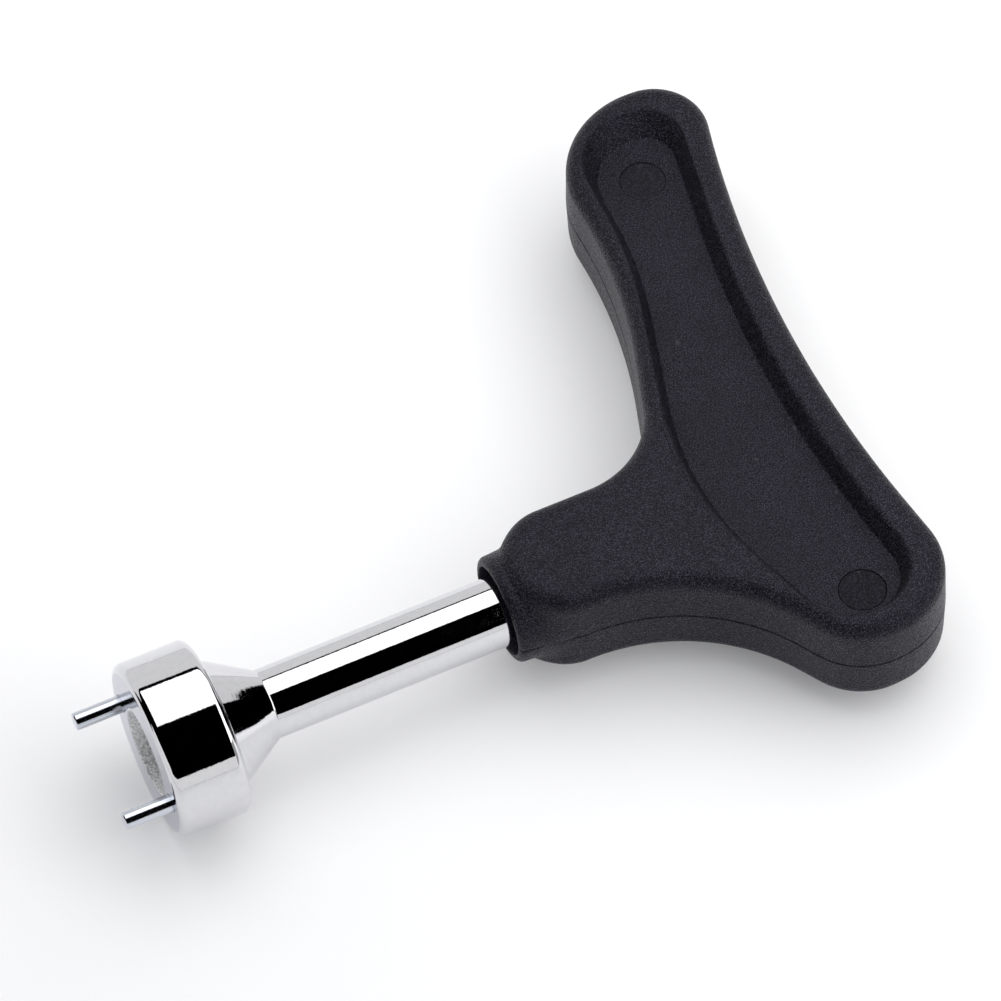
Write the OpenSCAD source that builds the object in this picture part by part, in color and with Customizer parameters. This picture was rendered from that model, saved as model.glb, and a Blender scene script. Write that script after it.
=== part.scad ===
// Two-pin T-handle wrench: a plated steel spindle whose round head carries two drive pins,
// held between the two moulded halves of an uneven T handle.
// Origin: centre of the head's front face. +X runs along the spindle to the handle,
// +Y along the long arm, +Z out of the front half of the handle.

/* [Head and spindle] */
// Diameter of the head at its front face
head_d = 25.3; // [20:0.1:32]
// Length of the head along the spindle
head_len = 10.5; // [9:0.1:14]
// Rounding of the head's front edge
head_round = 1.2; // [0.4:0.1:2]
// Diameter of the blind hole in the middle of the head
bore_d = 12; // [6:0.1:13.4]
// Depth of the blind hole
bore_depth = 8; // [2:0.5:8]
// Diameter of the cone where it leaves the head
cone_d = 19.2; // [14:0.1:23]
// Length of the cone
cone_len = 7.3; // [4:0.1:12]
// Diameter of the shaft
shaft_d = 10; // [8:0.1:10]
// Thickness of the flat tang at the handle end of the shaft
tang_t = 5; // [4:0.1:5]
// Distance from the head's front face to the end of the tang
spindle_len = 96; // [90:1:97]

/* [Drive pins] */
// Diameter of each drive pin where it stands out
pin_d = 2.5; // [1.5:0.1:2.5]
// Distance between the two pin centres
pin_span = 17.5; // [17:0.1:19]
// Length of pin that stands out of the head
pin_reach = 6.9; // [2:0.1:10]
// Length of pin pressed into the head
pin_seat = 6.5; // [3:0.1:8]
// Diameter of the pressed length, a little over the free length
pin_seat_d = 2.7; // [2.6:0.1:3.2]

/* [Handle] */
// Thickness of the handle, both halves together
handle_t = 16.6; // [16:0.1:20]
// Reach of the long arm from the spindle axis
long_arm = 68; // [66:0.1:80]
// Reach of the short arm from the spindle axis
short_arm = 30.4; // [30:0.1:33]
// Width of the neck that carries the spindle
neck_w = 17.7; // [17:0.1:19]
// Rounding of the edge between the side and the face
edge_r = 2.4; // [1.5:0.1:2.6]
// Inward lean of the side wall from the parting line to the face
draft = 0.15; // [0:0.05:0.4]
// Half-width of the small groove along the parting line
seam = 0.18; // [0.1:0.02:0.3]
// Outer diameter of the collar at its lip
collar_d = 15.5; // [15:0.1:15.8]
// Inner diameter of the collar
collar_bore = 13; // [11:0.1:13]

/* [Recess] */
// Depth of the dished recess in each face
recess_depth = 3.1; // [2:0.1:3.4]
// Rounding of the recess at its rim
rim_r = 0.9; // [0.4:0.1:1]

/* [Fasteners] */
// Diameter of the plugs over the screws
plug_d = 6.6; // [5.8:0.1:6.8]
// Thickness of the plugs
plug_t = 1.4; // [1:0.1:1.6]
// Thread diameter of the clamping screws
screw_d = 2.9; // [2.5:0.1:3.2]
// Length of screw under the head
screw_len = 6; // [5:0.1:6]
// Diameter of the cross pin that locks the spindle
cross_pin_d = 3; // [2:0.1:4]
// Length of the cross pin
cross_pin_len = 14; // [12:0.1:15]

/* [Hidden] */
$fn = 64;
eps = 0.01;
// How far a cut runs past the surface that it opens.
over = 1;

half_t = handle_t / 2;
neck_half = neck_w / 2;
collar_front = 52.5;
collar_base_d = collar_d + 0.6;
// Length of collar inside the neck, where the two join.
collar_root = 6;
lip_round = 1;
neck_front = 54.1;
cone_end = head_len + cone_len;
tang_start = 79;
cross_pin_x = 69;
fit = 0.05;
seat_start = 58;
rear_round = 1.2;
pin_round = 0.3;
tang_chamfer = 1;
peg_d = 3;
peg_h = 2;
peg_boss_d = peg_d + 3;
boss_d = plug_d + 3;
screw_head_d = 5.6;
screw_head_h = 1.7;
plug_chamfer = 0.15;
pilot_depth = 4.4;

// Corners of the handle outline on the parting plane, counter-clockwise: [x, y, radius].
outline = [
    [neck_front, -neck_half, 8],
    [78.6, -neck_half, 29],
    [92.2, -short_arm - 0.8, 10.5],
    [111.7, 0.7 - short_arm, 11.4],
    [103.7, 23.3, 177],
    [114.9, long_arm - 0.2, 8.2],
    [88.6, long_arm + 1.1, 14.5],
    [89.6, 39.2, 80],
    [79.9, neck_half, 13.2],
    [neck_front, neck_half, 8]
];
// Corners of the recess where its wall meets the face, and where it meets the floor.
recess_rim = [
    [81.8, 3, 49],
    [91.2, -26.4, 7],
    [105.5, -26.4, 7],
    [99.8, 15.4, 182],
    [108.4, 64, 5.5],
    [92.9, 64, 8.2],
    [92.5, 40.6, 64]
];
recess_floor = [
    [82.6, 3, 47],
    [91.9, -25.5, 6],
    [104.4, -25.5, 6],
    [98.8, 15.4, 180],
    [106.9, 61.2, 4.4],
    [93.7, 61.2, 7.4],
    [93.3, 40.4, 65]
];
floor_z = half_t - recess_depth;
long_screw_at = [100, 54.2];
short_screw_at = [97.4, -21.6];
peg_at = [[96, 30], [92.5, -11]];
wall_t = 2.2;
// Solid block round the tang, between the rooms in the two arms.
tang_block_start = 76;
tang_block_end = spindle_len + 3;
// Height of the land that each screw head clamps.
screw_seat_z = floor_z - plug_t - screw_head_h - fit;
screw_clearance = 0.3;
slot_len = 3;
slot_w = 0.7;
slot_depth = 0.8;

// Unit vector from p to q.
function toward(p, q) = [q.x - p.x, q.y - p.y] / norm([q.x - p.x, q.y - p.y]);
// Signed turn, in degrees, of a path that goes a, b, c.
function turn(a, b, c) =
    let (u = toward(a, b), v = toward(b, c))
    atan2(u.x * v.y - u.y * v.x, u.x * v.x + u.y * v.y);
// Points along the arc that rounds corner b, with the whole outline moved inward by inset.
function corner(a, b, c, inset, steps) =
    let (
        u = toward(a, b),
        bend = turn(a, b, c),
        side = sign(bend),
        cut = b[2] * tan(abs(bend) / 2),
        centre = [b.x, b.y] - cut * u + side * b[2] * [-u.y, u.x],
        start = atan2(-side * u.x, side * u.y),
        radius = b[2] - side * inset
    )
    [for (k = [0:steps]) centre + radius * [cos(start + bend * k / steps), sin(start + bend * k / steps)]];
// Steps for an arc: one for each 12 degrees, and never under 3.
function steps_for(a, b, c) = max(3, ceil(abs(turn(a, b, c)) / 12));
// The whole outline with its corners rounded, moved inward by inset. Two outlines with the
// same number of corners match point for point when they are given the same steps.
function rounded(path, inset = 0, steps = 0) =
    let (n = len(path))
    [for (i = [0:n - 1])
        let (a = path[(i + n - 1) % n], b = path[i], c = path[(i + 1) % n])
        each corner(a, b, c, inset, steps > 0 ? steps : steps_for(a, b, c))];
// Points of one level of a stack.
function level(points, z) = [for (p = points) [p.x, p.y, z]];

// Closed solid through levels of equal point count, lowest first.
module stack(levels) {
    n = len(levels[0]);
    m = len(levels);
    sides = [for (j = [0:m - 2], i = [0:n - 1])
        let (a = j * n + i, b = j * n + (i + 1) % n)
        each [[a, a + n, b], [b, a + n, b + n]]];
    bottom = [[for (i = [0:n - 1]) i]];
    top = [[for (i = [n - 1:-1:0]) (m - 1) * n + i]];
    polyhedron([for (ring = levels) each ring], concat(sides, bottom, top), convexity = 6);
}

// Solid of revolution about the spindle axis from [x, radius] points.
module turned(points) {
    rotate([0, 90, 0])
        rotate([0, 0, 90])
            rotate_extrude($fn = 96)
                polygon([for (p = points) [p[1], p[0]]]);
}

// Cylinder along Z from z0 to z1 at a point [x, y].
module post(at, d, z0, z1) {
    translate([at.x, at.y, z0])
        cylinder(d = d, h = z1 - z0);
}

// Outer form of the front half: groove, leaning side, rounded edge, flat face.
module half_body() {
    side_top = half_t - edge_r;
    stack(concat(
        [level(rounded(outline, seam), 0), level(rounded(outline, 0), seam)],
        [for (a = [0:22.5:90])
            level(rounded(outline, draft + edge_r * (1 - cos(a))), side_top + edge_r * sin(a))]
    ));
}

// The dished recess, rounded where its wall meets the face.
module recess() {
    stack(concat(
        [level(rounded(recess_floor, 0, 7), floor_z)],
        [for (a = [0:45:90])
            level(rounded(recess_rim, -rim_r * (1 - cos(a)), 7), half_t - rim_r + rim_r * sin(a))],
        [level(rounded(recess_rim, -rim_r, 7), half_t + over)]
    ));
}

// Half of the collar, solid here, with its rounded lip. It widens a little to the neck.
module half_collar() {
    back = neck_front + collar_root;
    intersection() {
        turned(concat(
            [[collar_front, 0]],
            [for (a = [0:15:90])
                [collar_front + lip_round * (1 - cos(a)), collar_d / 2 - lip_round * (1 - sin(a))]],
            [[back, collar_base_d / 2], [back, 0]]
        ));
        translate([collar_front - over, -collar_d, 0])
            cube([back, 2 * collar_d, collar_d]);
    }
}

// Room inside the arms, between the floor of the recess and the parting plane.
module arm_room() {
    ceiling = floor_z - wall_t;
    difference() {
        translate([0, 0, -over])
            linear_extrude(ceiling + over)
                polygon(rounded(recess_floor, 0, 4));
        translate([tang_block_start, -neck_half, -2 * over])
            cube([tang_block_end - tang_block_start, neck_w, ceiling + 4 * over]);
        for (at = peg_at)
            post(at, peg_boss_d, -2 * over, ceiling + 2 * over);
        for (at = [long_screw_at, short_screw_at])
            post(at, boss_d, -2 * over, ceiling + 2 * over);
    }
}

// The seat of the spindle: shaft bore, open collar bore, tang slot and cross-pin socket.
module spindle_seat() {
    translate([collar_front - over, 0, 0])
        rotate([0, 90, 0])
            cylinder(d = collar_bore, h = seat_start - collar_front + over);
    translate([seat_start - eps, 0, 0])
        rotate([0, 90, 0])
            cylinder(d = shaft_d + 2 * fit, h = tang_start + fit - seat_start);
    translate([tang_start - over, -shaft_d / 2 - 2 * fit, -tang_t / 2 - fit])
        cube([spindle_len + fit - tang_start + over, shaft_d + 4 * fit, tang_t + 2 * fit]);
    post([cross_pin_x, 0], cross_pin_d, -cross_pin_len / 2 - fit, cross_pin_len / 2 + fit);
}

// The free-form part of one half. A resize to the same size keeps it one mesh.
module moulding() {
    resize([0, 0, 0])
        difference() {
            half_body();
            recess();
            arm_room();
        }
}

// One half of the handle, before its screw and peg features.
module handle_half() {
    difference() {
        union() {
            moulding();
            half_collar();
        }
        spindle_seat();
    }
}

// Half of the handle on the recessed face that takes the screw heads and plugs.
module front_shell() {
    color([0.1, 0.1, 0.11])
        difference() {
            handle_half();
            for (at = [long_screw_at, short_screw_at]) {
                post(at, plug_d, screw_seat_z, half_t);
                post(at, screw_d + screw_clearance, -over, half_t);
            }
            for (at = peg_at)
                post(at, peg_d + 2 * fit, -over, peg_h + fit);
        }
}

// Opposite half, with the screw bosses and the locating pegs.
module rear_shell() {
    color([0.13, 0.13, 0.14]) {
        difference() {
            mirror([0, 0, 1])
                handle_half();
            for (at = [long_screw_at, short_screw_at])
                post(at, screw_d, -pilot_depth, over);
        }
        for (at = peg_at)
            post(at, peg_d, -over, peg_h);
    }
}

// Head, cone, shaft and flat tang, turned from one bar and plated.
module spindle() {
    color([0.82, 0.82, 0.84])
        difference() {
            intersection() {
                turned(concat(
                    [[0, 0]],
                    [for (a = [0:15:90])
                        [head_round * (1 - sin(90 - a)), head_d / 2 - head_round * (1 - cos(90 - a))]],
                    [[head_len - rear_round, head_d / 2], [head_len, head_d / 2 - rear_round],
                     [head_len, cone_d / 2], [cone_end, shaft_d / 2],
                     [spindle_len - tang_chamfer, shaft_d / 2],
                     [spindle_len, shaft_d / 2 - tang_chamfer],
                     [spindle_len, 0]]
                ));
                union() {
                    translate([-over, -head_d, -head_d])
                        cube([tang_start + over, 2 * head_d, 2 * head_d]);
                    translate([0, -head_d, -tang_t / 2])
                        cube([2 * spindle_len, 2 * head_d, tang_t]);
                }
            }
            translate([-over, 0, 0])
                rotate([0, 90, 0])
                    cylinder(d = bore_d, h = bore_depth + over);
            for (side = [-1, 1])
                translate([-over, side * pin_span / 2, 0])
                    rotate([0, 90, 0])
                        cylinder(d = pin_seat_d, h = pin_seat + over);
            post([cross_pin_x, 0], cross_pin_d, -shaft_d, shaft_d);
        }
}

// Steel pin with a small rounding on its free end and a thicker length pressed into the head.
module drive_pin(side) {
    color([0.62, 0.65, 0.7])
        translate([0, side * pin_span / 2, 0])
            turned(concat(
                [[-pin_reach, 0]],
                [for (a = [0:30:90])
                    [-pin_reach + pin_round * (1 - sin(90 - a)), pin_d / 2 - pin_round * (1 - cos(90 - a))]],
                [[0, pin_d / 2], [0, pin_seat_d / 2], [pin_seat, pin_seat_d / 2], [pin_seat, 0]]
            ));
}
module drive_pin_left() {
    drive_pin(1);
}
module drive_pin_right() {
    drive_pin(-1);
}

// Steel pin through the shaft and into a socket in each half of the neck.
module cross_pin() {
    color([0.6, 0.6, 0.62])
        post([cross_pin_x, 0], cross_pin_d, -cross_pin_len / 2, cross_pin_len / 2);
}

// Thread-forming screw with a low round head and a cross slot.
module clamp_screw(at) {
    color([0.66, 0.66, 0.68])
        difference() {
            union() {
                post(at, screw_head_d, screw_seat_z, screw_seat_z + screw_head_h);
                post(at, screw_d, screw_seat_z - screw_len, screw_seat_z + eps);
            }
            for (spin = [0, 90])
                translate([at.x, at.y, screw_seat_z + screw_head_h])
                    rotate([0, 0, spin])
                        cube([slot_len, slot_w, 2 * slot_depth], center = true);
        }
}
module long_arm_screw() {
    clamp_screw(long_screw_at);
}
module short_arm_screw() {
    clamp_screw(short_screw_at);
}

// Flush round plug over a screw head, with a small edge chamfer.
module plug(at) {
    color([0.08, 0.08, 0.09])
        translate([at.x, at.y, floor_z - plug_t]) {
            cylinder(d = plug_d, h = plug_t - plug_chamfer);
            translate([0, 0, plug_t - plug_chamfer])
                cylinder(d1 = plug_d, d2 = plug_d - 2 * plug_chamfer, h = plug_chamfer);
        }
}
module long_arm_plug() {
    plug(long_screw_at);
}
module short_arm_plug() {
    plug(short_screw_at);
}

front_shell();
rear_shell();
spindle();
drive_pin_left();
drive_pin_right();
cross_pin();
long_arm_screw();
short_arm_screw();
long_arm_plug();
short_arm_plug();
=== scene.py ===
"""Looks of the two-pin T-handle wrench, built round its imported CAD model."""

import math

import bmesh
import bpy
import numpy as np
from mathutils import Matrix, Vector
from mathutils.geometry import delaunay_2d_cdt


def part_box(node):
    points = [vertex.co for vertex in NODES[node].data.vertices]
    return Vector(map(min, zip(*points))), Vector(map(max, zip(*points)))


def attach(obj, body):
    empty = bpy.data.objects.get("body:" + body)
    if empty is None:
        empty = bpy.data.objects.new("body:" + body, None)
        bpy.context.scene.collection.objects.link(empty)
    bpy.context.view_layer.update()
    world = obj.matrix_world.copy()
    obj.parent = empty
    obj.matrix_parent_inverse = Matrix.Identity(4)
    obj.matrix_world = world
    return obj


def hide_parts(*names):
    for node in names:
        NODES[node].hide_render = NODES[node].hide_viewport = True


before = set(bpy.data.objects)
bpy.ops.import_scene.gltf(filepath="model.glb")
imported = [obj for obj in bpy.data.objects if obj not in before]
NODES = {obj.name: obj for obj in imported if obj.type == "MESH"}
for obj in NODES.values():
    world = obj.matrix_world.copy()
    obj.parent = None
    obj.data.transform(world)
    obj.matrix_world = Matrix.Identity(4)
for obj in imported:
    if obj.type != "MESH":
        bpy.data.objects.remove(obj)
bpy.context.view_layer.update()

MM = 0.001

# Sizes that the CAD boxes give, in millimetres.
shell_low, shell_high = (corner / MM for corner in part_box("front_shell"))
head_low, head_high = (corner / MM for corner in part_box("spindle"))
pin_low, pin_high = (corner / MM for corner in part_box("drive_pin_left"))
long_low, long_high = (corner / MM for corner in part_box("long_arm_plug"))
short_low, short_high = (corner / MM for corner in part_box("short_arm_plug"))

HALF_T = shell_high.z
COLLAR_FRONT = shell_low.x
FLOOR_Z = long_high.z
HEAD_R = head_high.z
SPINDLE_END = head_high.x
PIN_TIP = pin_low.x
PIN_SEAT_END = pin_high.x
PIN_Y = (pin_low.y + pin_high.y) / 2
PLUG_R = (long_high.x - long_low.x) / 2
LONG_PLUG = ((long_low + long_high) / 2).xy
SHORT_PLUG = ((short_low + short_high) / 2).xy

# The rest of the handle's dimensions. They are the CAD's, but for the seam, the small roundings
# and the gaps round the plugs. The collar's blend into the neck, which the CAD doesn't have, comes
# up to 0.33 mm above the handle's face.
NECK_HALF = 8.85
NECK_FRONT = 54.1
NECK_CORNER = 8.0
NECK_END = 62.2
EDGE_R = 2.4
DRAFT = 0.15
SEAM = 0.2
COLLAR_R = 7.75
COLLAR_BASE_R = 8.05
COLLAR_FLARE_X, COLLAR_FLARE_LEN = 53.5, 5
COLLAR_BORE_R = 6.5
LIP_ROUND = 1.0
SEAT_START = 58.0
NECK_END_GAP = 0.15
SHAFT_R = 5.0
SHAFT_FIT = 0.05
SHAFT_END_GAP = 0.1
RIM_R = 0.9
RIM_CREST_R = 1.2
WALL_FOOT_R = 0.45
PLUG_SEAT_DEPTH = 1.6
LONG_PLUG_GAP = 0.025
SHORT_PLUG_GAP = 0.07
OUTLINE = [
    (NECK_FRONT, -NECK_HALF, NECK_CORNER),
    (78.6, -NECK_HALF, 29),
    (92.2, -31.2, 10.5),
    (111.7, -29.7, 11.4),
    (103.7, 23.3, 177),
    (114.9, 67.8, 8.2),
    (88.6, 69.1, 14.5),
    (89.6, 39.2, 80),
    (79.9, NECK_HALF, 13.2),
    (NECK_FRONT, NECK_HALF, NECK_CORNER),
]
RECESS_RIM = [
    (81.8, 3, 49),
    (91.2, -26.4, 7),
    (105.5, -26.4, 7),
    (99.8, 15.4, 182),
    (108.4, 64, 5.5),
    (92.9, 64, 8.2),
    (92.5, 40.6, 64),
]
RECESS_FLOOR = [
    (82.6, 3, 47),
    (91.9, -25.5, 6),
    (104.4, -25.5, 6),
    (98.8, 15.4, 180),
    (106.9, 61.2, 4.4),
    (93.7, 61.2, 7.4),
    (93.3, 40.4, 65),
]

# How finely the surfaces are divided, in millimetres: low corner, high corner and step of the
# grids, and how far in from the outline the extra rings over the rounded edge are.
FACE_GRID = (62, -33), (114, 70), 1.3
FLOOR_GRID = (80, -30), (112, 64), 1.4
EDGE_RINGS = (1.65, 1.9, 2.2, 2.55, 3.1)
CREST_RINGS = 6
CIRCLE_STEPS = 72

# Limits of rounding error for a length and for two points that should meet, in millimetres, and
# the distance at which a mesh's points are welded, in metres.
NEAR = 1e-9
SAME_POINT = 1e-6
WELD = 2e-6


# ---------------------------------------------------------------- plane geometry


def rounded(path, inset=0.0, spacing=0.8):
    """The closed outline with its corners rounded, moved inward by inset.

    The number of points depends on the path and the spacing only, so two insets match point for
    point.
    """
    n = len(path)
    arcs = []
    for i in range(n):
        a, b, c = (np.array(path[j % n][:2], float) for j in (i - 1, i, i + 1))
        radius = path[i][2]
        u = (b - a) / np.linalg.norm(b - a)
        v = (c - b) / np.linalg.norm(c - b)
        bend = math.atan2(u[0] * v[1] - u[1] * v[0], u @ v)
        side = math.copysign(1, bend)
        cut = radius * math.tan(abs(bend) / 2)
        centre = b - cut * u + side * radius * np.array([-u[1], u[0]])
        start = math.atan2(-side * u[0], side * u[1])
        steps = max(4, math.ceil(radius * abs(bend) / spacing))
        angles = start + bend * np.arange(steps + 1) / steps
        ring = np.stack([np.cos(angles), np.sin(angles)], 1)
        arcs.append((centre + radius * ring, centre + (radius - side * inset) * ring))
    points = []
    for i in range(n):
        points.append(arcs[i][1])
        gap = np.linalg.norm(arcs[(i + 1) % n][0][0] - arcs[i][0][-1])
        fill = max(0, math.ceil(gap / spacing) - 1)
        t = (np.arange(fill) + 1)[:, None] / (fill + 1)
        points.append(arcs[i][1][-1] * (1 - t) + arcs[(i + 1) % n][1][0] * t)
    return np.concatenate(points)


def inside(points, polygon):
    """Says which points lie inside a closed polygon."""
    x, y = points[:, 0][:, None], points[:, 1][:, None]
    a, b = polygon, np.roll(polygon, -1, 0)
    crosses = (a[:, 1] > y) != (b[:, 1] > y)
    with np.errstate(divide="ignore", invalid="ignore"):
        at = a[:, 0] + (y - a[:, 1]) * (b[:, 0] - a[:, 0]) / (b[:, 1] - a[:, 1])
    return (np.where(crosses, x < at, False).sum(1) % 2) == 1


def distance(points, polygon, batch=400):
    """Distance of each point from a closed polygon's edge."""
    a, b = polygon, np.roll(polygon, -1, 0)
    ab = b - a
    length_squared = np.maximum((ab**2).sum(1), 1e-12)
    out = np.empty(len(points))
    for i in range(0, len(points), batch):
        p = points[i : i + batch, None, :]
        t = np.clip(((p - a) * ab).sum(2) / length_squared, 0, 1)
        out[i : i + batch] = np.sqrt(((p - a - t[..., None] * ab) ** 2).sum(2).min(1))
    return out


def grid(low, high, step):
    """Staggered grid of points over a rectangle, close to equal triangles."""
    points = []
    for row, y in enumerate(np.arange(low[1], high[1], step * 0.87)):
        shift = step / 2 * (row % 2)
        points += [(x + shift, y) for x in np.arange(low[0], high[0], step)]
    return np.array(points)


def fill(loops, loose=None):
    """Triangles over the area inside the first loop and outside the others.

    The loose points, if there are any, become corners of triangles too.
    """
    points = np.concatenate(loops if loose is None else [*loops, loose])
    edges, base = [], 0
    for loop in loops:
        n = len(loop)
        edges += [(base + i, base + (i + 1) % n) for i in range(n)]
        base += n
    found = delaunay_2d_cdt([Vector(p) for p in points], edges, [], 0, 1e-7)
    xy = np.array([tuple(v) for v in found[0]])
    faces = np.array([f for f in found[2] if len(f) == 3])
    middle = xy[faces].mean(1)
    keep = inside(middle, loops[0])
    for hole in loops[1:]:
        keep &= ~inside(middle, hole)
    faces = faces[keep]
    a, b, c = xy[faces[:, 0]], xy[faces[:, 1]], xy[faces[:, 2]]
    ab, ac = b - a, c - a
    area = ab[:, 0] * ac[:, 1] - ab[:, 1] * ac[:, 0]
    faces[area < 0] = faces[area < 0][:, ::-1]
    return xy, faces[np.abs(area) > 1e-9]


# ---------------------------------------------------------------- mesh building


class Skin:
    """Collects patches of surface, in millimetres, and joins them into one mesh object."""

    def __init__(self):
        self.points, self.faces, self.tags = [], [], []
        self.count = 0

    def add(self, points, faces, tag=0):
        """Adds a patch. The tag is the number of its material."""
        self.points.append(np.asarray(points, float))
        self.faces += [tuple(int(i) + self.count for i in f) for f in faces]
        self.tags += [tag] * len(faces)
        self.count += len(points)

    def strips(self, rings, closed=True, tag=0, flip=False):
        """Quads between rings of equal point count."""
        n = len(rings[0])
        faces = []
        for j in range(len(rings) - 1):
            for i in range(n if closed else n - 1):
                a, b = j * n + i, j * n + (i + 1) % n
                quad = (a, b, b + n, a + n)
                faces.append(quad[::-1] if flip else quad)
        self.add(np.concatenate(rings), faces, tag)

    def build(self, name, materials, mirror=False, sharp=40):
        """Makes the object. Edges that turn by more than sharp degrees stay creases."""
        points = np.concatenate(self.points) * MM
        if mirror:
            points[:, 2] *= -1
        mesh = bpy.data.meshes.new(name)
        mesh.from_pydata(points.tolist(), [], self.faces)
        for polygon, tag in zip(mesh.polygons, self.tags):
            polygon.material_index = tag
        bm = bmesh.new()
        bm.from_mesh(mesh)
        bmesh.ops.remove_doubles(bm, verts=bm.verts, dist=WELD)
        bmesh.ops.dissolve_degenerate(bm, edges=bm.edges, dist=WELD / 10)
        bmesh.ops.recalc_face_normals(bm, faces=bm.faces)
        for edge in bm.edges:
            crease = len(edge.link_faces) == 2 and edge.calc_face_angle(0) > math.radians(sharp)
            edge.smooth = not crease
        for face in bm.faces:
            face.smooth = True
        open_edges = sum(1 for e in bm.edges if len(e.link_faces) != 2)
        print(f"{name}: {len(bm.verts)} vertices, {len(bm.faces)} faces, {open_edges} open edges")
        bm.to_mesh(mesh)
        bm.free()
        obj = bpy.data.objects.new(name, mesh)
        bpy.context.scene.collection.objects.link(obj)
        for material in materials:
            mesh.materials.append(material)
        return obj


def lathe(skin, profile, axis=(0.0, 0.0), segments=256, tag=0):
    """Surface of revolution about an axis along X at (y, z), from [x, radius] points."""
    angles = np.arange(segments) * 2 * math.pi / segments
    y, z = np.cos(angles), np.sin(angles)
    rings = [
        np.stack([np.full(segments, x), axis[0] + r * y, axis[1] + r * z], 1) for x, r in profile
    ]
    skin.strips(rings, tag=tag)


def bend(points, radius_steps):
    """A profile with the corners between its ends rounded, each by its own (radius, steps)."""
    points = [np.array(p, float) for p in points]
    out = [points[0]]
    for i in range(1, len(points) - 1):
        radius, steps = radius_steps[i - 1]
        if not radius:
            out.append(points[i])
            continue
        u = points[i] - points[i - 1]
        v = points[i + 1] - points[i]
        u, v = u / np.linalg.norm(u), v / np.linalg.norm(v)
        turn = math.atan2(u[0] * v[1] - u[1] * v[0], u @ v)
        side = math.copysign(1, turn)
        cut = radius * math.tan(abs(turn) / 2)
        centre = points[i] - cut * u + side * radius * np.array([-u[1], u[0]])
        start = math.atan2(-side * u[0], side * u[1])
        for k in range(steps + 1):
            angle = start + turn * k / steps
            out.append(centre + radius * np.array([math.cos(angle), math.sin(angle)]))
    out.append(points[-1])
    return np.array(out)


# ---------------------------------------------------------------- the handle's outer form


def edge_inset(z):
    """How far the side has moved in from the parting-line outline at height z."""
    z = np.asarray(z, float)
    side_top = HALF_T - EDGE_R
    rise = np.clip((z - side_top) / EDGE_R, 0, 1)
    groove = np.clip(SEAM - z, 0, None)
    lean = DRAFT * np.clip(z / side_top, 0, 1)
    return groove + lean + EDGE_R * (1 - np.sqrt(np.clip(1 - rise**2, 0, 1)))


def edge_height(inset):
    """Height of the face where it rounds over to the side."""
    t = np.clip((DRAFT + EDGE_R - np.asarray(inset, float)) / EDGE_R, 0, 1)
    return HALF_T - EDGE_R + EDGE_R * np.sqrt(1 - t**2)


def neck_inset(x, y):
    """Inset of a point from the outline, over the length of the neck."""
    dx = np.maximum(NECK_FRONT + NECK_CORNER - x, 0)
    dy = np.abs(y) - (NECK_HALF - NECK_CORNER)
    return NECK_CORNER - np.where((dx > 0) & (dy > 0), np.hypot(dx, dy), np.maximum(dx, dy))


def neck_radius(x, angle, reach=13.0, halvings=40):
    """Distance from the spindle axis to the neck's surface, looking out at an angle."""
    low, high = np.zeros_like(angle), np.full_like(angle, reach)
    for _ in range(halvings):
        mid = (low + high) / 2
        y, z = mid * np.cos(angle), mid * np.sin(angle)
        solid = (neck_inset(x, y) >= edge_inset(z)) & (z < HALF_T)
        low, high = np.where(solid, mid, low), np.where(solid, high, mid)
    return low


def smooth_max(a, b, width):
    """The larger of two lengths, blended over a width where they are close."""
    near = np.clip(width - np.abs(a - b), 0, None)
    return np.maximum(a, b) + near**2 / (4 * np.maximum(width, 1e-9))


def neck_blend(x, width=1.9, fade=5.0):
    """Width of the blend between the collar and the neck, which fades out at the neck's end."""
    t = np.clip((NECK_END - x) / fade, 0, 1)
    return width * t * t * (3 - 2 * t)


def side_levels():
    """Heights of the rings from the parting line up to where the face takes over."""
    side_top = HALF_T - EDGE_R
    wall = [0, SEAM / 2, SEAM, 0.9, 2.0, 3.2, 4.4, 5.3]
    turn = [side_top + EDGE_R * math.sin(math.radians(a)) for a in range(4, 61, 7)]
    return wall + turn


def outline_points(inset):
    """The outline from the neck's end on the short-arm side round to its end on the other."""
    ring = rounded(OUTLINE, inset)
    ring = ring[ring[:, 0] > NECK_END + NECK_END_GAP]
    first = np.argmin(np.where(ring[:, 1] < 0, ring[:, 0], np.inf))
    ring = np.roll(ring, -first, 0)
    ends = [(NECK_END, inset - NECK_HALF), (NECK_END, NECK_HALF - inset)]
    return np.concatenate([[ends[0]], ring, [ends[1]]])


def at_height(points, z):
    """Plane points lifted to a height, or to one height each."""
    return np.column_stack([points, np.broadcast_to(z, len(points))])


def recess_rings(spacing=0.6):
    """Rings from the face, over the recess's rim and down its wall to the floor."""
    outer = rounded(RECESS_RIM, -RIM_R, spacing)
    columns = len(outer)
    low = resample(rounded(RECESS_FLOOR, 0, spacing), columns, outer[0])
    outer = resample(outer, columns, outer[0])
    drop = HALF_T - FLOOR_Z
    rings = None
    for i in range(columns):
        across = low[i] - outer[i]
        width = np.linalg.norm(across)
        unit = across / width
        profile = bend(
            [(-0.3, 0), (RIM_R / 2, 0), (width, -drop), (width + 0.35, -drop)],
            [(RIM_CREST_R, 8), (WALL_FOOT_R, 5)],
        )
        if rings is None:
            rings = np.zeros((len(profile), columns, 3))
        rings[:, i, :2] = outer[i] + profile[:, :1] * unit
        rings[:, i, 2] = HALF_T + profile[:, 1]
    return rings


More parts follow.
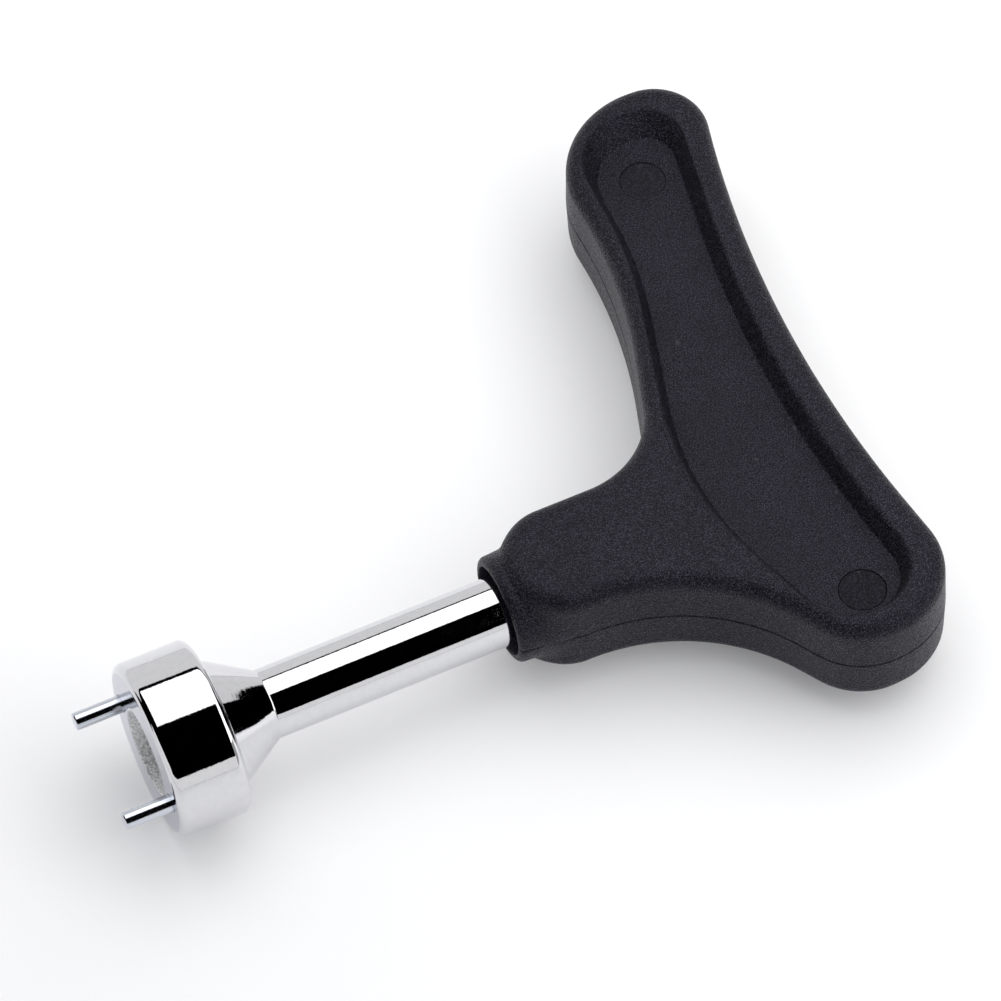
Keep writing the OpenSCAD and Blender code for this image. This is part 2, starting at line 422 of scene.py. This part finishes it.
def resample(ring, count, start):
    """A closed ring as evenly spaced points, from the one nearest to a start point."""
    ring = np.roll(ring, -np.argmin(((ring - start) ** 2).sum(1)), 0)
    closed = np.vstack([ring, ring[:1]])
    along = np.concatenate([[0], np.cumsum(np.linalg.norm(np.diff(closed, axis=0), axis=1))])
    at = np.arange(count) / count * along[-1]
    return np.stack([np.interp(at, along, closed[:, k]) for k in (0, 1)], 1)


def about_axis(x, radius, angle):
    """Points round the spindle axis, at one place along it."""
    return np.stack([np.full(len(angle), x), radius * np.cos(angle), radius * np.sin(angle)], 1)


def circle(centre, radius):
    """Points round a circle in the plane of the face."""
    angles = np.arange(CIRCLE_STEPS) * 2 * math.pi / CIRCLE_STEPS
    return np.stack([centre[0] + radius * np.cos(angles), centre[1] + radius * np.sin(angles)], 1)


def half_shell():
    """One half of the handle, above the parting plane."""
    skin = Skin()
    levels = side_levels()
    insets = edge_inset(levels)
    rings = [at_height(outline_points(inset), z) for inset, z in zip(insets, levels)]
    skin.strips(rings, closed=False)

    # The face, between the rounded edge, the neck's end and the recess.
    crown = rings[-1]
    outline = rounded(OUTLINE)
    span = NECK_HALF - insets[-1]
    neck_line = np.array([(NECK_END, y) for y in np.linspace(span, -span, 32)[1:-1]])
    boundary = np.concatenate([crown[:, :2], neck_line])
    recess = recess_rings()
    rim = recess[0, :, :2]
    # Loose points stay clear of the edges, so that no triangle is a sliver.
    loose = [rounded(OUTLINE, inset) for inset in EDGE_RINGS]
    loose.append(grid(*FACE_GRID))
    loose = np.concatenate(loose)
    loose = loose[inside(loose, boundary) & ~inside(loose, rim)]
    loose = loose[(distance(loose, boundary) > 0.09) & (distance(loose, rim) > 0.25)]
    xy, faces = fill([boundary, rim], loose)
    skin.add(at_height(xy, edge_height(distance(xy, outline))), faces)

    # The recess: rim, wall and floor, with a round seat for each plug. Its first rings stay below
    # the handle's rounded edge where the two are close.
    for ring in recess[:CREST_RINGS]:
        ring[:, 2] = np.minimum(ring[:, 2], edge_height(distance(ring[:, :2], outline)))
    skin.strips(list(recess))
    foot = recess[-1, :, :2]
    seats = [
        circle(LONG_PLUG, PLUG_R + LONG_PLUG_GAP),
        circle(SHORT_PLUG, PLUG_R + SHORT_PLUG_GAP),
    ]
    loose = grid(*FLOOR_GRID)
    loose = loose[inside(loose, foot) & (distance(loose, foot) > 0.4)]
    for seat in seats:
        loose = loose[~inside(loose, seat) & (distance(loose, seat) > 0.4)]
    xy, faces = fill([foot, *seats], loose)
    skin.add(at_height(xy, FLOOR_Z), faces)
    for seat in seats:
        depths = [FLOOR_Z, FLOOR_Z - 0.05, FLOOR_Z - PLUG_SEAT_DEPTH]
        skin.strips([at_height(seat, z) for z in depths])
        xy, faces = fill([seat])
        skin.add(at_height(xy, depths[-1]), faces)

    # The neck and the collar, as one surface about the spindle axis.
    section = [(-(NECK_HALF - inset), z) for inset, z in zip(insets, levels)]
    section += [(y, edge_height(NECK_HALF - abs(y))) for y in neck_line[::-1, 1]]
    section += [(NECK_HALF - inset, z) for inset, z in zip(insets[::-1], levels[::-1])]
    section = np.array(section, float)
    angle = np.arctan2(section[:, 1], section[:, 0])
    own = np.hypot(section[:, 0], section[:, 1])
    # The lip's last point only gives the direction in which its rounding ends.
    lip = bend(
        [
            (SEAT_START, COLLAR_BORE_R),
            (COLLAR_FRONT, COLLAR_BORE_R),
            (COLLAR_FRONT, COLLAR_R),
            (55, COLLAR_R + 0.05),
        ],
        [(0.18, 3), (LIP_ROUND, 9)],
    )
    rows = [np.full(len(angle), r) for r in lip[:-1, 1]]
    at_x = list(lip[:-1, 0])
    for x in np.linspace(lip[-2, 0], NECK_END, 44)[1:]:
        flare = min(1, (x - COLLAR_FLARE_X) / COLLAR_FLARE_LEN)
        collar = COLLAR_R + (COLLAR_BASE_R - COLLAR_R) * flare
        body = neck_radius(np.full_like(angle, x), angle)
        merged = smooth_max(np.full_like(body, collar), body, neck_blend(x))
        rows.append(own if x >= NECK_END - NEAR else merged)
        at_x.append(x)
    neck = []
    for x, r in zip(at_x, rows):
        r = np.array(r)
        if r[0] > COLLAR_BORE_R + 0.4 and x < NECK_END - NEAR:
            # The groove at the parting line runs on along the collar, but not in its bore.
            height = r * np.sin(angle)
            r = r - np.clip(SEAM - height, 0, None) * (x < NECK_FRONT + 1)
        neck.append(about_axis(x, r, angle))
    skin.strips(neck, closed=False)

    # Inside: the bore's step, the shaft's channel and the parting plane.
    channel_r = SHAFT_R + SHAFT_FIT
    channel_end = SPINDLE_END + SHAFT_END_GAP
    inner = [(SEAT_START, COLLAR_BORE_R), (SEAT_START, channel_r), (channel_end, channel_r)]
    rows = [about_axis(x, r, angle) for x, r in inner]
    skin.strips(rows, closed=False)
    end = rows[-1]
    hub = np.array([[channel_end, 0, 0]])
    skin.add(np.vstack([end, hub]), [(i, i + 1, len(end)) for i in range(len(end) - 1)])
    right = [row[0] for row in neck]
    left = [row[-1] for row in neck]
    loop = [*right, *rings[0][1:-1], *left[::-1]]
    loop += [rows[0][-1], rows[1][-1], end[-1], hub[0], end[0], rows[1][0], rows[0][0]]
    loop = np.array(loop)[:, :2]
    keep = [0]
    for i in range(1, len(loop)):
        if np.linalg.norm(loop[i] - loop[keep[-1]]) > SAME_POINT:
            keep.append(i)
    if np.linalg.norm(loop[keep[-1]] - loop[0]) < SAME_POINT:
        keep.pop()
    loop = loop[keep]
    xy, faces = fill([loop])
    skin.add(at_height(xy, 0), faces)
    return skin


# ---------------------------------------------------------------- materials


# Sockets of a colour Mix node.
MIX_FACTOR, MIX_A, MIX_B, MIX_RESULT = 0, 6, 7, 2

# Tint of the plastic's reflections, which the photo shows as a little violet.
PLASTIC_TINT = (0.80, 0.77, 1.0, 1)


def new_material(name):
    """A material with its node tree and its shader."""
    material = bpy.data.materials.new(name)
    material.use_nodes = True
    tree = material.node_tree
    return material, tree, tree.nodes["Principled BSDF"]


def node(tree, kind, **values):
    """A shader node with its settings and its unlinked inputs."""
    made = tree.nodes.new(kind)
    for key, value in values.items():
        if key in made.inputs:
            made.inputs[key].default_value = value
        else:
            setattr(made, key, value)
    return made


def set_socket(target, name, value):
    """Sets an unlinked input of a node."""
    target.inputs[name].default_value = value


def ramp(tree, low, low_colour, high, high_colour):
    """A ramp between two opaque colours."""
    made = node(tree, "ShaderNodeValToRGB")
    for stop, position, colour in zip(
        made.color_ramp.elements, (low, high), (low_colour, high_colour)
    ):
        stop.position = position
        stop.color = (*colour, 1)
    return made


def remap(tree, low, high, new_low, new_high):
    """A node that maps one range of numbers to another."""
    made = node(tree, "ShaderNodeMapRange")
    set_socket(made, "From Min", low)
    set_socket(made, "From Max", high)
    set_socket(made, "To Min", new_low)
    set_socket(made, "To Max", new_high)
    return made


def plastic(name, colour, rough, grain, grain_mm, spots, contrast, shine):
    """Black moulded plastic: spark grain, slow tone changes, a painted speckle of glints and pit
    shade, and pale specks that are painted glints.

    grain is the depth of the grain and grain_mm the size of it, both in millimetres. spots sets how
    common the pale painted-glint specks are, contrast how far the painted speckle brightens the
    grain's crests and darkens its pits, and shine the strength of the reflections.
    """
    material, tree, shader = new_material(name)
    link = tree.links.new
    where = node(tree, "ShaderNodeTexCoord").outputs["Object"]
    slow = node(tree, "ShaderNodeTexNoise", Scale=90.0, Detail=3.0, Roughness=0.55)
    pit_scale = 1000 / (grain_mm * 0.6)
    pits = node(tree, "ShaderNodeTexNoise", Scale=pit_scale, Detail=1.0, Roughness=0.5)
    fine = node(tree, "ShaderNodeTexNoise", Scale=1000 / grain_mm, Detail=3.0, Roughness=0.6)
    set_socket(fine, "Distortion", 0.3)
    cells = node(tree, "ShaderNodeTexVoronoi", Scale=1000 / (grain_mm * 1.5), Randomness=1.0)
    specks = node(tree, "ShaderNodeTexNoise", Scale=620.0, Detail=1.0)
    for texture in (slow, fine, cells, specks, pits):
        link(where, texture.inputs["Vector"])

    # Colour: a slow drift, times a painted speckle (glints on the grain's crests, shade in its
    # pits), under pale specks that are painted glints.
    tone = ramp(tree, 0.3, [c * 0.8 for c in colour], 0.72, [c * 1.25 for c in colour])
    link(slow.outputs["Fac"], tone.inputs["Fac"])
    # Pale specks: painted glints, laid into the colour.
    painted_glint_specks = ramp(tree, 0.74 - spots, (0, 0, 0), 0.80 - spots, (1, 1, 1))
    link(specks.outputs["Fac"], painted_glint_specks.inputs["Fac"])
    # Painted speckle: the colour drops to a tenth in the pits as painted shade and rises to
    # contrast times on the crests as painted glints.
    painted_glint_speckle = remap(tree, 0.52, 0.62, 0.1, contrast)
    link(pits.outputs["Fac"], painted_glint_speckle.inputs["Value"])
    glint_and_shade_tone = node(tree, "ShaderNodeMix", data_type="RGBA", blend_type="MULTIPLY")
    glint_and_shade_tone.inputs[MIX_FACTOR].default_value = 1.0
    link(tone.outputs["Color"], glint_and_shade_tone.inputs[MIX_A])
    link(painted_glint_speckle.outputs["Result"], glint_and_shade_tone.inputs[MIX_B])
    mix = node(tree, "ShaderNodeMix", data_type="RGBA")
    link(painted_glint_specks.outputs["Color"], mix.inputs[MIX_FACTOR])
    link(glint_and_shade_tone.outputs[MIX_RESULT], mix.inputs[MIX_A])
    mix.inputs[MIX_B].default_value = (*[min(1, c * 5 + 0.02) for c in colour], 1)
    link(mix.outputs[MIX_RESULT], shader.inputs["Base Color"])

    # Gloss: the pits are rougher than the crests between them.
    spread = remap(tree, 0.45, 0.60, rough + 0.16, rough - 0.08)
    link(pits.outputs["Fac"], spread.inputs["Value"])
    link(spread.outputs["Result"], shader.inputs["Roughness"])

    # Relief: rounded cells with finer noise on them.
    height = node(tree, "ShaderNodeMath", operation="MULTIPLY_ADD")
    height.inputs[1].default_value = 0.6
    link(cells.outputs["Distance"], height.inputs[0])
    link(fine.outputs["Fac"], height.inputs[2])
    bump = node(tree, "ShaderNodeBump", Strength=1.0, Distance=grain * MM)
    link(height.outputs["Value"], bump.inputs["Height"])
    link(bump.outputs["Normal"], shader.inputs["Normal"])
    set_socket(shader, "Specular IOR Level", shine)
    set_socket(shader, "Specular Tint", PLASTIC_TINT)
    return material


def metal(
    name,
    colour,
    rough,
    ripple,
    stretch=(1, 1, 1),
    scale=120.0,
    blotch=0.0,
    pebble=0.0,
    finer=9.0,
    metallic=1.0,
):
    """Bright metal with a slow ripple and a fine pebble in its surface, and uneven polish.

    ripple and pebble are depths in millimetres. scale is the ripple's, and the pebble is finer
    times as fine. blotch sets how dark the dull spots are.
    """
    material, tree, shader = new_material(name)
    link = tree.links.new
    where = node(tree, "ShaderNodeTexCoord").outputs["Object"]
    mapping = node(tree, "ShaderNodeMapping", Scale=stretch)
    link(where, mapping.inputs["Vector"])
    wave = node(tree, "ShaderNodeTexNoise", Scale=scale, Detail=2.0)
    fine = node(tree, "ShaderNodeTexNoise", Scale=scale * finer, Detail=4.0, Roughness=0.65)
    for texture in (wave, fine):
        link(mapping.outputs["Vector"], texture.inputs["Vector"])
    tone = ramp(tree, 0.3, [c * (0.94 - blotch) for c in colour], 0.7, colour)
    link(fine.outputs["Fac"], tone.inputs["Fac"])
    link(tone.outputs["Color"], shader.inputs["Base Color"])
    spread = remap(tree, 0.35, 0.7, rough * 0.6, rough * 1.4)
    link(fine.outputs["Fac"], spread.inputs["Value"])
    link(spread.outputs["Result"], shader.inputs["Roughness"])
    relief = node(tree, "ShaderNodeMath", operation="MULTIPLY_ADD")
    relief.inputs[1].default_value = pebble / ripple
    link(fine.outputs["Fac"], relief.inputs[0])
    link(wave.outputs["Fac"], relief.inputs[2])
    bump = node(tree, "ShaderNodeBump", Strength=1.0, Distance=ripple * MM)
    link(relief.outputs["Value"], bump.inputs["Height"])
    link(bump.outputs["Normal"], shader.inputs["Normal"])
    set_socket(shader, "Metallic", metallic)
    return material


handle_plastic = plastic(
    "handle_plastic",
    (0.0022, 0.0021, 0.0030),
    rough=0.36,
    grain=0.12,
    grain_mm=0.27,
    spots=0.0,
    contrast=17.0,
    shine=0.22,
)
plug_plastic = plastic(
    "plug_plastic",
    (0.004, 0.004, 0.0055),
    rough=0.36,
    grain=0.03,
    grain_mm=0.45,
    spots=0.03,
    contrast=3.0,
    shine=0.23,
)
# A darker copy of the plug plastic for the short arm's plug: its darker colour is painted shade,
# and it has less shine.
shaded_plug_plastic = plastic(
    "shaded_plug_plastic",
    (0.003, 0.003, 0.0042),
    rough=0.34,
    grain=0.03,
    grain_mm=0.45,
    spots=0.03,
    contrast=3.0,
    shine=0.16,
)
chrome = metal("chrome_plate", (0.70, 0.70, 0.72), rough=0.035, ripple=0.006, pebble=0.006)
face_chrome = metal(
    "face_chrome",
    (0.52, 0.53, 0.61),
    rough=0.12,
    ripple=0.004,
    scale=300.0,
    blotch=0.12,
    pebble=0.006,
)
bore_steel = metal(
    "bore_steel",
    (1.0, 1.0, 1.0),
    rough=0.5,
    ripple=0.05,
    scale=1600.0,
    blotch=0.65,
    pebble=0.06,
    finer=1.8,
    metallic=0.3,
)
pin_steel = metal(
    "pin_steel",
    (0.66, 0.69, 0.75),
    rough=0.14,
    ripple=0.02,
    stretch=(0.15, 1, 1),
    scale=700.0,
    blotch=0.1,
)
zinc = metal("hidden_steel", (0.55, 0.55, 0.57), rough=0.3, ripple=0.01, scale=500.0)


# ---------------------------------------------------------------- pieces


def place(obj, slot, *replaced):
    """Puts the piece on the one body and hides the CAD nodes it stands for. slot is not used."""
    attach(obj, "root")
    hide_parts(*replaced)


# The rear half is the front half mirrored. So it has the plugs' two seats as well, open and 1.6 mm
# deep, where the CAD's rear face is plain.
shell = half_shell()
place(shell.build("front_shell_skin", [handle_plastic]), "handle_plastic", "front_shell")
place(shell.build("rear_shell_skin", [handle_plastic], mirror=True), "handle_plastic", "rear_shell")

# The plated spindle, turned in fine steps, with its flat tang.
HEAD_LEN, CONE_R, CONE_END = 10.5, 9.6, 17.8
HEAD_EDGE_R, CONE_EDGE_R = 1.2, 0.5
BORE_R, BORE_DEPTH, BORE_CHAMFER, BORE_END_R = 6.0, 8.0, 0.15, 0.8
TANG_START, TANG_HALF, TANG_ARC_STEPS = 79.0, 2.5, 12
PLATED, FACE, BORE = 0, 1, 2
spindle = Skin()
outer = bend(
    [
        (0, BORE_R),
        (0, HEAD_R),
        (HEAD_LEN, HEAD_R),
        (HEAD_LEN, CONE_R),
        (CONE_END, SHAFT_R),
        (TANG_START, SHAFT_R),
        (TANG_START, 0),
    ],
    [(HEAD_EDGE_R, 14), (HEAD_EDGE_R, 12), (CONE_EDGE_R, 5), (CONE_EDGE_R, 5), (0, 0)],
)
face_rings = np.linspace(BORE_R + BORE_CHAMFER, outer[1][1], 8)
lathe(spindle, [*((0, r) for r in face_rings), outer[2]], tag=FACE)
lathe(spindle, outer[2:], tag=PLATED)
bore = bend(
    [(0, BORE_R + BORE_CHAMFER), (BORE_CHAMFER, BORE_R), (BORE_DEPTH, BORE_R), (BORE_DEPTH, 0)],
    [(0, 0), (BORE_END_R, 5)],
)
lathe(spindle, bore, tag=BORE)
tang = []
half_angle = math.asin(TANG_HALF / SHAFT_R)
angles = np.linspace(-half_angle, half_angle, TANG_ARC_STEPS)
for x, shrink in ((TANG_START - 0.5, 1), (SPINDLE_END - 1, 1), (SPINDLE_END, 0.8)):
    y, z = SHAFT_R * shrink * np.cos(angles), SHAFT_R * np.sin(angles)
    right = np.stack([np.full(TANG_ARC_STEPS, x), y, z], 1)
    tang.append(np.concatenate([right, right * [1, -1, -1]]))
spindle.strips(tang)
n = len(tang[0])
for cap in (tang[0], tang[-1]):
    spindle.add(np.vstack([cap, [[cap[0][0], 0, 0]]]), [(i, (i + 1) % n, n) for i in range(n)])
spindle_finishes = [chrome, face_chrome, bore_steel]
place(spindle.build("plated_spindle", spindle_finishes, sharp=50), "chrome_plate", "spindle")

# The two drive pins.
PIN_R, PIN_SEAT_R, PIN_TIP_R = 1.25, 1.35, 0.28
pin_profile = bend(
    [
        (PIN_TIP, 0),
        (PIN_TIP, PIN_R),
        (0, PIN_R),
        (0, PIN_SEAT_R),
        (PIN_SEAT_END, PIN_SEAT_R),
        (PIN_SEAT_END, 0),
    ],
    [(PIN_TIP_R, 6), (0, 0), (0, 0), (0, 0)],
)
for name, side in (("left", 1), ("right", -1)):
    pin = Skin()
    lathe(pin, pin_profile, axis=(side * PIN_Y, 0), segments=96)
    place(pin.build(f"ground_pin_{name}", [pin_steel]), "pin_steel", f"drive_pin_{name}")

# The plugs over the screws, a little dished.
PLUG_DISH = 0.03
for name, centre, low, finish in (
    ("long_arm", LONG_PLUG, long_low.z, plug_plastic),
    ("short_arm", SHORT_PLUG, short_low.z, shaded_plug_plastic),
):
    plug = Skin()
    rings = [(PLUG_R, low)]
    for inward, down in ((0, 0.14), (0.05, 0.05), (0.16, 0.01)):
        rings.append((PLUG_R - inward, FLOOR_Z - down))
    rings += [(PLUG_R * f, FLOOR_Z - PLUG_DISH * (1 - f)) for f in (0.9, 0.75, 0.55, 0.35, 0.15)]
    plug.strips([at_height(circle(centre, r), z) for r, z in rings])
    for r, z in (rings[0], rings[-1]):
        rim = at_height(circle(centre, r), z)
        n = len(rim)
        plug.add(np.vstack([rim, [[*centre, z]]]), [(i, (i + 1) % n, n) for i in range(n)])
    place(plug.build(f"{name}_cap", [finish]), "plug_plastic", f"{name}_plug")

# The pieces inside the handle keep their CAD meshes.
for name in ("cross_pin", "long_arm_screw", "short_arm_screw"):
    NODES[name].data.materials.clear()
    NODES[name].data.materials.append(zinc)


# ---------------------------------------------------------------- floor, light and camera

# The photo's viewing angle: the directions to the right in the picture and back to the camera.
view_right = Vector((0.9092, -0.4149, -0.0346)).normalized()
view_back = Vector((-0.2054, -0.5193, 0.8295)).normalized()
view_up = view_back.cross(view_right).normalized()
view_right = view_up.cross(view_back).normalized()
CAMERA_DISTANCE = 0.90
FRAME_WIDTH = 0.1362
SENSOR = 36.0
aim = Vector((56.89, 7.68, 14.07)) * MM

camera_data = bpy.data.cameras.new("camera")
camera_data.sensor_width = SENSOR
camera_data.lens = SENSOR * CAMERA_DISTANCE / FRAME_WIDTH
camera_data.clip_start, camera_data.clip_end = 0.01, 20
camera = bpy.data.objects.new("camera", camera_data)
turn = Matrix((view_right, view_up, view_back)).transposed().to_4x4()
camera.matrix_world = Matrix.Translation(aim + view_back * CAMERA_DISTANCE) @ turn
bpy.context.scene.collection.objects.link(camera)
bpy.context.scene.camera = camera


def studio_panel(name, points, faces, strength=0.0):
    """A soft light, or at strength 0 a black flag that only reflections meet.

    The camera sees neither.
    """
    mesh = bpy.data.meshes.new(name)
    mesh.from_pydata(points, [], faces)
    obj = bpy.data.objects.new(name, mesh)
    material = bpy.data.materials.new(name)
    material.use_nodes = True
    tree = material.node_tree
    tree.nodes.clear()
    out = tree.nodes.new("ShaderNodeOutputMaterial")
    shader = node(tree, "ShaderNodeEmission", Color=(1, 1, 1, 1), Strength=strength)
    if not strength:
        obj.visible_diffuse = False
        obj.visible_shadow = False
    tree.links.new(shader.outputs[0], out.inputs["Surface"])
    mesh.materials.append(material)
    obj.visible_camera = False
    bpy.context.scene.collection.objects.link(obj)


def canopy(name, low, high, strength=0.0, along=None):
    """Part of a half tunnel over the wrench, along X, between two angles up from +Y."""
    angles = np.radians(np.linspace(low, high, 24))
    points = [
        (x, CANOPY_R * math.cos(a), FLOOR_LEVEL + CANOPY_R * math.sin(a))
        for a in angles
        for x in along or CANOPY_X
    ]
    faces = [(2 * i, 2 * i + 1, 2 * i + 3, 2 * i + 2) for i in range(len(angles) - 1)]
    studio_panel(name, points, faces, strength)


# The floor is just under the head. Its level and reach, and the tunnel's radius and ends, are in
# metres.
FLOOR_LEVEL = -HEAD_R * MM - 0.0002
FLOOR_REACH = 3.0
CANOPY_R, CANOPY_X = 0.3, (-0.32, 0.38)
floor_mesh = bpy.data.meshes.new("floor")
floor_corners = [
    (FLOOR_REACH * x, FLOOR_REACH * y, FLOOR_LEVEL) for x, y in ((-1, -1), (1, -1), (1, 1), (-1, 1))
]
floor_mesh.from_pydata(floor_corners, [], [(0, 1, 2, 3)])
floor = bpy.data.objects.new("floor", floor_mesh)
floor_material, floor_tree, floor_shader = new_material("floor")
set_socket(floor_shader, "Base Color", (0.9, 0.9, 0.905, 1))
set_socket(floor_shader, "Roughness", 0.9)
set_socket(floor_shader, "Specular IOR Level", 0.1)
set_socket(floor_shader, "Emission Color", (1, 1, 1, 1))
set_socket(floor_shader, "Emission Strength", 0.1)
floor_mesh.materials.append(floor_material)
bpy.context.scene.collection.objects.link(floor)

# Along X: where the soft light starts, and where the panels that the bright metal reflects give
# way to the ones that only the handle reflects.
soft_start, shaft_end = -0.06, 0.125
start_x, end_x = CANOPY_X
canopy("backdrop_light", 1, 42, 0.85)
canopy("gap_flag", 42, 47)
canopy("soft_light", 47, 97, 1.9, along=(soft_start, end_x))
canopy("soft_end_flag", 47, 97, along=(start_x, soft_start))
canopy("front_flag", 97, 164, along=(start_x, shaft_end))
canopy("low_light", 164, 179, 0.92, along=(start_x, shaft_end))
canopy("handle_light", 97, 148, 2.2, along=(shaft_end, end_x))
canopy("handle_low_light", 148, 179, 0.4, along=(shaft_end, end_x))

# The two ends of the tunnel, each in sections from the -Y side to the +Y side: name, x, right and
# left edge, bottom, top and strength.
sill, low_top = FLOOR_LEVEL + 0.006, 0.12
ends = (
    ("far_right_light", end_x, -CANOPY_R, -0.155, sill, CANOPY_R, 1.3),
    ("far_flag", end_x, -0.155, 0.068, sill, CANOPY_R, 0.0),
    ("far_light", end_x, 0.068, CANOPY_R, sill, low_top, 0.82),
    ("far_upper_flag", end_x, 0.068, CANOPY_R, low_top, CANOPY_R, 0.0),
    ("near_light", start_x, -CANOPY_R, 0.06, sill, low_top, 1.0),
    ("near_upper_flag", start_x, -CANOPY_R, 0.06, low_top, CANOPY_R, 0.0),
    ("near_flag", start_x, 0.06, CANOPY_R, sill, CANOPY_R, 0.0),
)
for name, x, right, left, low, high, strength in ends:
    corners = [(x, right, low), (x, left, low), (x, left, high), (x, right, high)]
    studio_panel(name, corners, [(0, 1, 2, 3)], strength)

world = bpy.data.worlds.new("studio")
world.use_nodes = True
background = world.node_tree.nodes["Background"]
set_socket(background, "Color", (0.95, 0.96, 1.0, 1))
set_socket(background, "Strength", 0.55)
bpy.context.scene.world = world
bpy.context.scene.view_settings.view_transform = "Standard"
